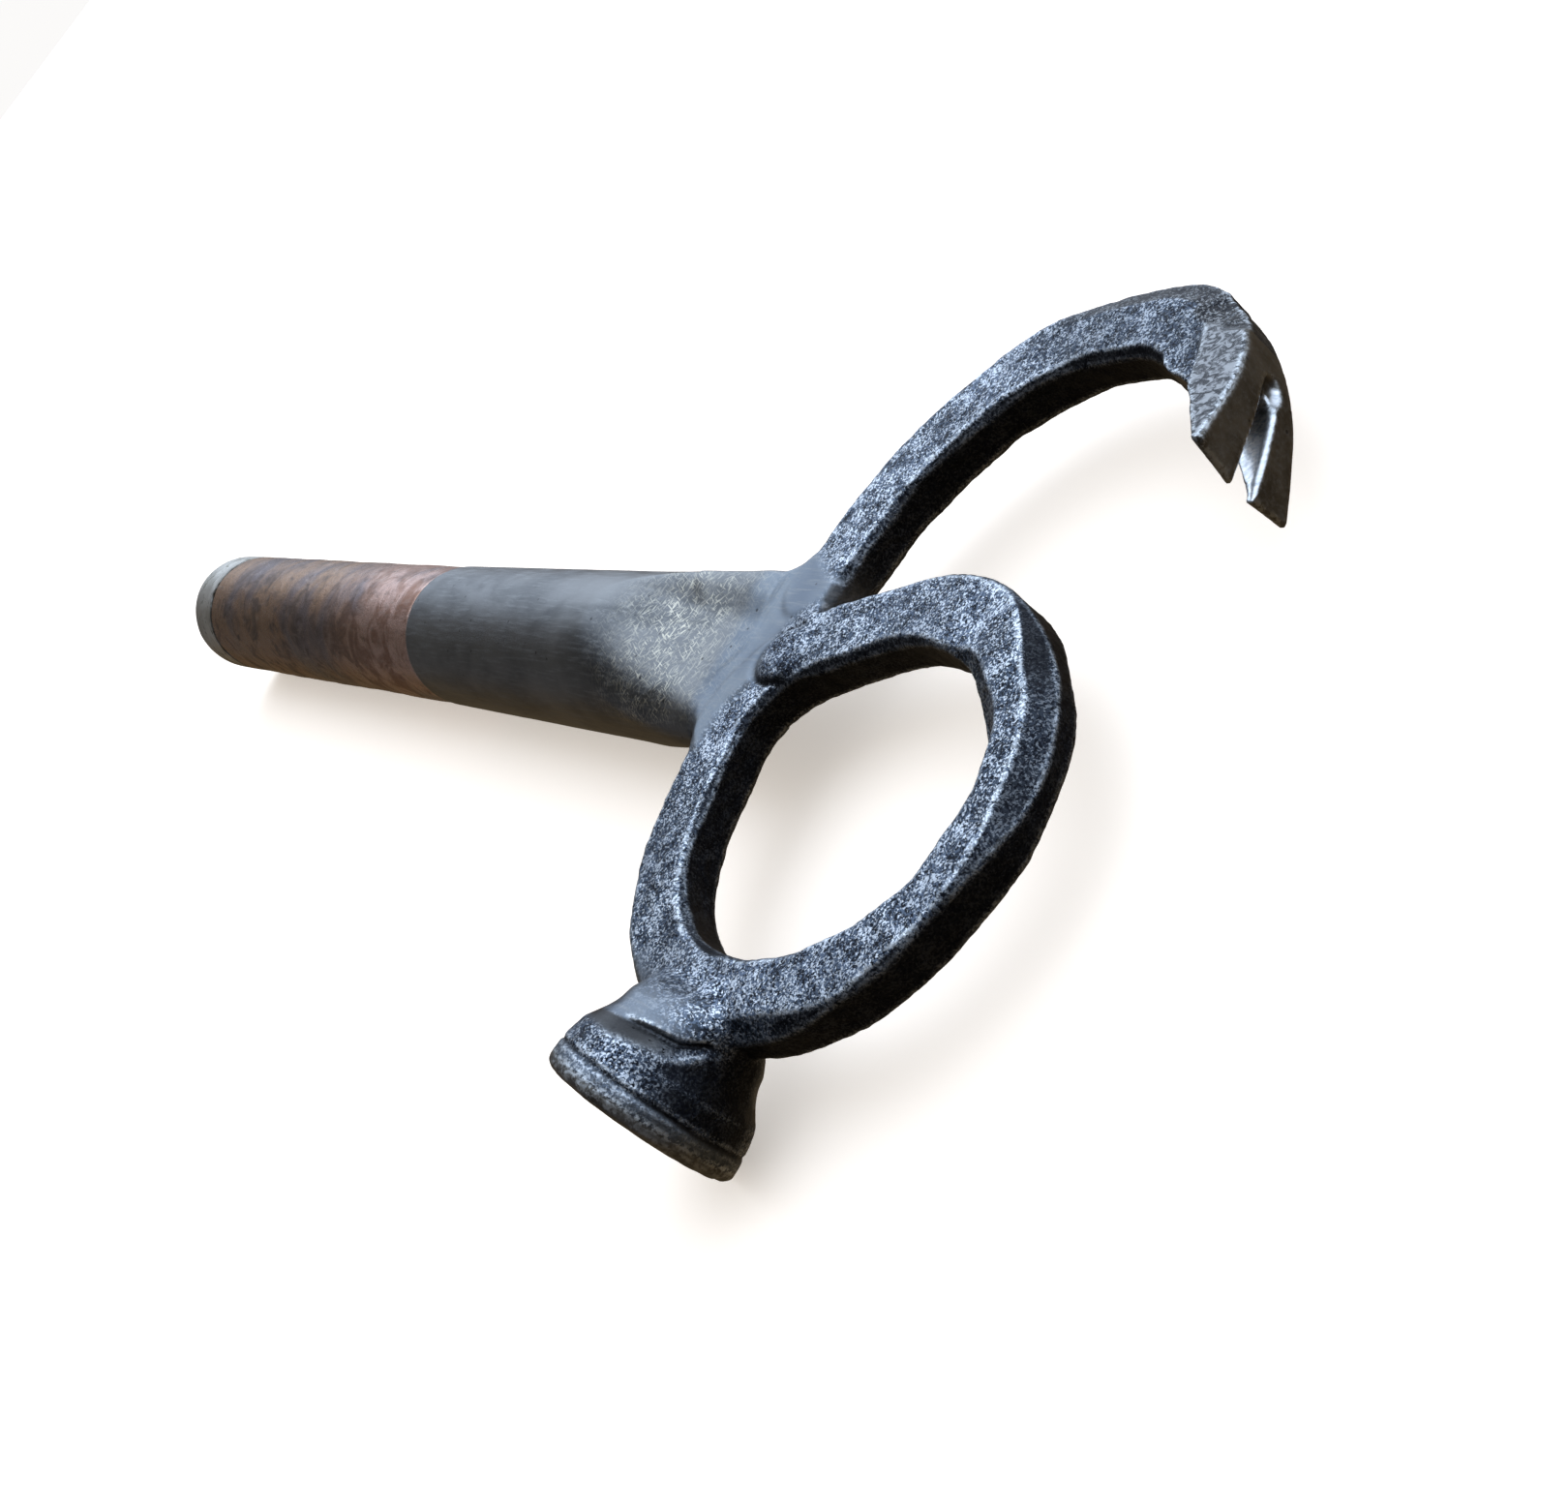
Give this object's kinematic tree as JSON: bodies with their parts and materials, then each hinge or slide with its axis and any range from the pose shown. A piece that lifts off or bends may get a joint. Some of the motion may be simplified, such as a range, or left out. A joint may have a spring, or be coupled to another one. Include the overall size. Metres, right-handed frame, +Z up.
{
  "type": "claw hammer",
  "caption": "Forged steel claw hammer: open ring head with a round striking face, arched arm to a forked nail claw, copper-sleeved tube handle.",
  "frame": {"origin": "bottom centre of the object's box, with the hammer lying on its side", "axes": "+X along the handle towards the head, +Y in the plane of the head towards the claw, +Z up, square to that plane"},
  "size_m": [0.3971, 0.1431, 0.0332],
  "materials": {
    "handle_steel": "ground and oil-darkened, with fine cross scratches near the head",
    "copper": "aged copper, brown and purple-grey with rubbed pink patches",
    "cap_steel": "worn bare steel",
    "weld_steel": "weld metal, ground smooth, lightly pitted",
    "forge_scale": "black forge scale, finely pitted, edges rubbed bright",
    "claw_steel": "smooth ground, oil-darkened, with filed slot walls",
    "face_steel": "dull worn striking face with a chipped rim"
  },
  "bodies": {
    "root": {"handle_tube": "handle_steel", "copper_sleeve": "copper", "end_cap": "cap_steel", "junction_weld": "weld_steel", "ring_bar": "forge_scale", "claw_arm": "forge_scale", "nail_claw": "claw_steel", "poll_weld": "weld_steel", "poll_body": "forge_scale", "striking_face": "face_steel"}
  },
  "joints": []
}
